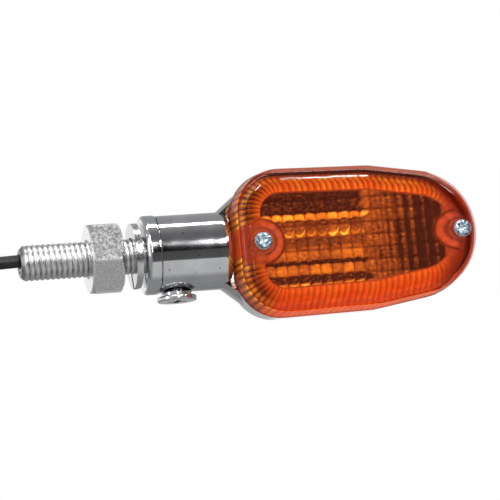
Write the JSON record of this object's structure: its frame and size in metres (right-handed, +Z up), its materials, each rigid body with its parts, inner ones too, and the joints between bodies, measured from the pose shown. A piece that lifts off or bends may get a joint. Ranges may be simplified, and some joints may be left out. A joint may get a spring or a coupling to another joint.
{
  "type": "turn signal indicator",
  "caption": "Motorcycle turn signal: chrome teardrop housing with an amber ribbed lens on a hollow threaded stud with a nut, lock washer, swivel clamp and short lead.",
  "frame": {"origin": "on the stem's axis, at the collar face that seats on the bracket", "axes": "+X along the stem from the stud to the lamp's tip, -Y the way the lens faces, +Z up as mounted"},
  "size_m": [0.1876, 0.0283, 0.1238],
  "materials": {
    "chrome_plate": "polished chrome plate on die-cast zinc",
    "collar_chrome": "polished chrome plate on turned steel",
    "zinc_stud": "bright zinc plated steel with rolled thread",
    "zinc_nut": "bright zinc plated steel, slightly grainy flats",
    "spring_steel": "zinc plated spring steel",
    "screw_steel": "blue passivated steel",
    "amber_lens": "transparent amber acrylic, gloss outside, prisms inside",
    "seal_rubber": "soft black rubber",
    "mirror_plate": "vacuum metallised reflector",
    "plated_strip": "tin plated steel strip",
    "rivet_steel": "plain steel",
    "socket_brass": "nickel flashed brass",
    "phenolic": "brown phenolic board",
    "contact_brass": "bright brass",
    "bulb_brass": "nickel plated brass",
    "bulb_insert_glass": "black glass",
    "solder": "tin solder",
    "bulb_glass": "clear glass",
    "mount_glass": "clear pressed glass",
    "tungsten": "tungsten and nickel wire",
    "black_jacket": "black PVC jacket",
    "orange_core": "orange PVC insulation",
    "black_core": "black PVC insulation",
    "tie_nylon": "black nylon",
    "sleeve_black": "black shrink sleeve",
    "bullet_brass": "brass bullet in a clear insulating sleeve"
  },
  "bodies": {
    "stem": {"mounting_stud": "zinc_stud", "stem_collar": "collar_chrome", "stem_lead": "black_jacket", "cable": "black_jacket", "cable_coil": "black_jacket", "cable_tail": "black_jacket", "cable_tie": "tie_nylon", "end_sleeve": "sleeve_black", "core_signal": "orange_core", "core_ground": "black_core", "bullet_signal": "bullet_brass", "bullet_ground": "bullet_brass"},
    "washer": {"lock_washer": "spring_steel"},
    "nut": {"mounting_nut": "zinc_nut"},
    "head": {"housing": "chrome_plate", "lens_gasket": "seal_rubber", "reflector": "mirror_plate", "socket_bracket": "plated_strip", "bracket_rivets": "rivet_steel", "socket_shell": "socket_brass", "socket_insulator": "phenolic", "signal_terminal": "contact_brass", "ground_terminal": "contact_brass", "signal_wire": "orange_core", "ground_wire": "black_core", "contact_spring": "spring_steel"},
    "clamp": {"clamp_screw": "screw_steel"},
    "lens_cover": {"lens": "amber_lens"},
    "screw_inner": {"lens_screw_inner": "screw_steel"},
    "screw_outer": {"lens_screw_outer": "screw_steel"},
    "bulb": {"bulb_cap": "bulb_brass", "bulb_insert": "bulb_insert_glass", "bulb_contact": "solder", "bulb_glass": "bulb_glass", "bulb_mount": "mount_glass", "filament_posts": "tungsten", "filament": "tungsten"},
    "plunger": {"contact_plunger": "contact_brass"}
  },
  "joints": [
    {"name": "head_swivel", "type": "hinge", "parent": "stem", "child": "head", "pos_m": [0.01, 0, 0], "axis": [1, 0, 0], "range_deg": [-90, 90]},
    {"name": "washer_slide", "type": "slide", "parent": "stem", "child": "washer", "axis": [-1, 0, 0], "range_m": [0, 0.018]},
    {"name": "nut_turn", "type": "hinge", "parent": "washer", "child": "nut", "pos_m": [-0.0107, 0, 0], "axis": [-1, 0, 0], "range_deg": [0, 4320]},
    {"name": "clamp_turn", "type": "hinge", "parent": "head", "child": "clamp", "pos_m": [0.0091, 0, -0.012], "axis": [0, 0, -1], "continuous": true},
    {"name": "lens_lift", "type": "slide", "parent": "head", "child": "lens_cover", "axis": [0, -1, 0], "range_m": [0, 0.025]},
    {"name": "screw_inner_turn", "type": "hinge", "parent": "lens_cover", "child": "screw_inner", "pos_m": [0.0321, -0.013, 0], "axis": [0, -1, 0], "continuous": true},
    {"name": "screw_outer_turn", "type": "hinge", "parent": "lens_cover", "child": "screw_outer", "pos_m": [0.0898, -0.013, 0], "axis": [0, -1, 0], "continuous": true},
    {"name": "bulb_turn", "type": "hinge", "parent": "head", "child": "bulb", "pos_m": [0.0515, -0.001, 0], "axis": [1, 0, 0], "range_deg": [0, 20]},
    {"name": "plunger_push", "type": "slide", "parent": "head", "child": "plunger", "axis": [-1, 0, 0], "range_m": [0, 0.0019], "stiffness_N_per_m": 300, "springref_m": -0.001, "deforming": ["contact_spring"]}
  ],
  "couplings": [
    {"joint": "nut_turn", "follows": "washer_slide", "rad_per_m": 4188.8}
  ]
}
